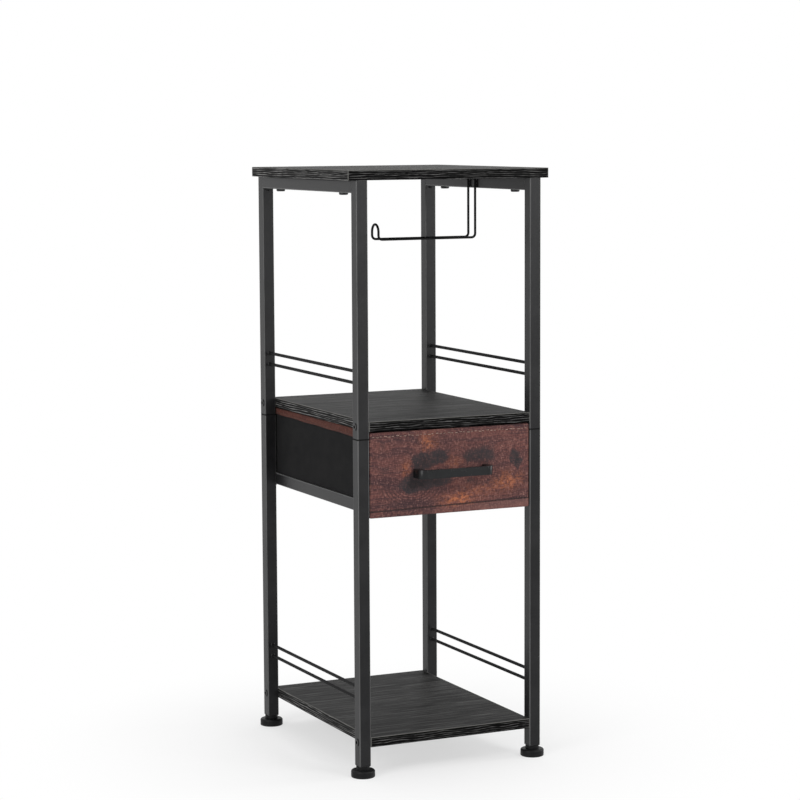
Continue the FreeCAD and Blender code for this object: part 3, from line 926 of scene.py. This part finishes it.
outward = Vector((0, -1, 0))
row_half = print_high.x - row_inset
row_y = print_low.y + row_depth
pale_thread = sewing_thread("pale_thread", tone(120, 96, 86), tone(176, 150, 136))
top_stitches = bmesh.new()
start = Vector((-row_half, row_y, top_row_z))
finish = Vector((row_half, row_y, top_row_z))
add_stitch_run(top_stitches, start, finish, outward, top_sewing, top_uneven)
add_piece("drawer_front_top_stitches", top_stitches, pale_thread, "drawer")
dark_thread = sewing_thread("dark_thread", tone(30, 21, 21), tone(52, 36, 35))
low_stitches = bmesh.new()
start = Vector((-row_half, row_y, seam_height(-row_half)))
finish = Vector((row_half, row_y, seam_height(row_half)))
add_stitch_run(low_stitches, start, finish, outward, low_sewing)
add_piece("drawer_front_low_stitches", low_stitches, dark_thread, "drawer")

# Drawer handle
# A flat steel bow with rounded corners, coated satin black, and held by two screws with washers from inside
# the drawer's front.

satin = plain_coat("satin_black_handle", tone(16, 17, 18), tone(23, 24, 25), clouds=((45, 45, 45), 3),
                   skin=((800, 800, 800), 2), roughness=(0.2, 0.12), depth=0.00003, gloss=0.22)
dress(satin, ["drawer_handle"])
soften(["drawer_handle"], width=0.0012)

# Studio
# A plain pale floor under white surroundings, with five large soft lamps. The surroundings and the far floor
# look white, while the floor near the stand keeps its shadow.

white = (1.0, 1.0, 1.0, 1.0)
floor_grey = (0.86, 0.86, 0.86, 1.0)
floor_half = 12.0
# The floor's own brightness grows from a share near the stand to the whole of it further away
floor_glow = 0.6
floor_near = 0.12
floor_far = 0.5
soft_level = 0.45
scene = bpy.context.scene
scene.view_settings.view_transform = "Standard"


def seen_directly(wire):
    """1 for what is seen, straight or in a gloss or glass, and 0 for the light that falls on things."""
    camera_ray = wire.node("LightPath", {}, {}, "Is Camera Ray")
    looked_at = camera_ray + camera_ray.beside("Is Glossy Ray") + camera_ray.beside("Is Transmission Ray")
    return wire.math("MINIMUM", looked_at, 1.0)


world = bpy.data.worlds.new("white_studio")
world.use_nodes = True
scene.world = world
sky = Wire(world.node_tree)
strength = soft_level + (1 - soft_level) * seen_directly(sky)
sky.fill(world.node_tree.nodes["Background"], {"Color": white, "Strength": strength})

paper, place = new_finish("white_floor")
from_middle = place.node("VectorMath", {"operation": "LENGTH"}, {0: place}, "Value")
far = (floor_glow + (1 - floor_glow) * from_middle.rise(floor_near, floor_far)) * seen_directly(place)
matt = place.node("BsdfDiffuse", {}, {"Color": floor_grey})
bright = place.node("Emission", {}, {"Color": white, "Strength": 1.0})
both = place.node("MixShader", {}, {0: far, 1: matt, 2: bright})
place.fill(paper.node_tree.nodes["Material Output"], {"Surface": both})
floor = bmesh.new()
bmesh.ops.create_grid(floor, x_segments=1, y_segments=1, size=floor_half)
floor_mesh = bpy.data.meshes.new("studio_floor")
floor.to_mesh(floor_mesh)
floor.free()
floor_mesh.materials.append(paper)
studio_floor = bpy.data.objects.new("studio_floor", floor_mesh)
scene.collection.objects.link(studio_floor)

aim = Vector((0, 0, 0.38))
# Each lamp: its name, its place, its width and height, and its power
lamps = (
    ("left_lamp", Vector((-2.1, -1.1, 0.95)), 0.9, 1.9, 26.0),
    ("front_lamp", Vector((0.8, -1.7, 1.85)), 0.8, 0.7, 13.0),
    ("front_panel", Vector((1.3, -2.7, 0.85)), 1.0, 0.8, 12.0),
    ("right_lamp", Vector((2.15, -0.5, 0.95)), 0.7, 1.8, 16.0),
    ("top_lamp", Vector((0.2, 0.6, 2.6)), 1.8, 1.8, 22.0),
)
for name, stand, width, tall, power in lamps:
    light = bpy.data.lights.new(name, "AREA")
    light.shape = "RECTANGLE"
    light.size = width
    light.size_y = tall
    light.energy = power
    lamp = bpy.data.objects.new(name, light)
    lamp.location = stand
    lamp.rotation_euler = (aim - stand).to_track_quat("-Z", "Y").to_euler()
    scene.collection.objects.link(lamp)

# Camera
# It stands where the photograph was taken from: to the front left, a little above the top board, and looks
# slightly down.

focal_pixels = 2460.0
picture_pixels = 800.0
sensor_mm = 36.0
turn = math.radians(25.2332)
tilt = math.radians(6.3609)
roll = math.radians(-0.2866)
distance = 3.0647
aside = 0.0041
eye_height = 0.7761
frame_middle_y = 0.0065
ahead = Vector((math.sin(turn), math.cos(turn), 0))
right = Vector((math.cos(turn), -math.sin(turn), 0))
eye = Vector((0, frame_middle_y, eye_height)) - ahead * distance + right * aside
view = bpy.data.cameras.new("camera")
view.sensor_width = sensor_mm
view.lens = focal_pixels * sensor_mm / picture_pixels
camera = bpy.data.objects.new("camera", view)
to_the_side = Matrix.Rotation(-turn, 4, "Z")
down = Matrix.Rotation(math.pi / 2 - tilt, 4, "X")
askew = Matrix.Rotation(roll, 4, "Z")
camera.matrix_world = Matrix.Translation(eye) @ (to_the_side @ down @ askew)
scene.collection.objects.link(camera)
scene.camera = camera
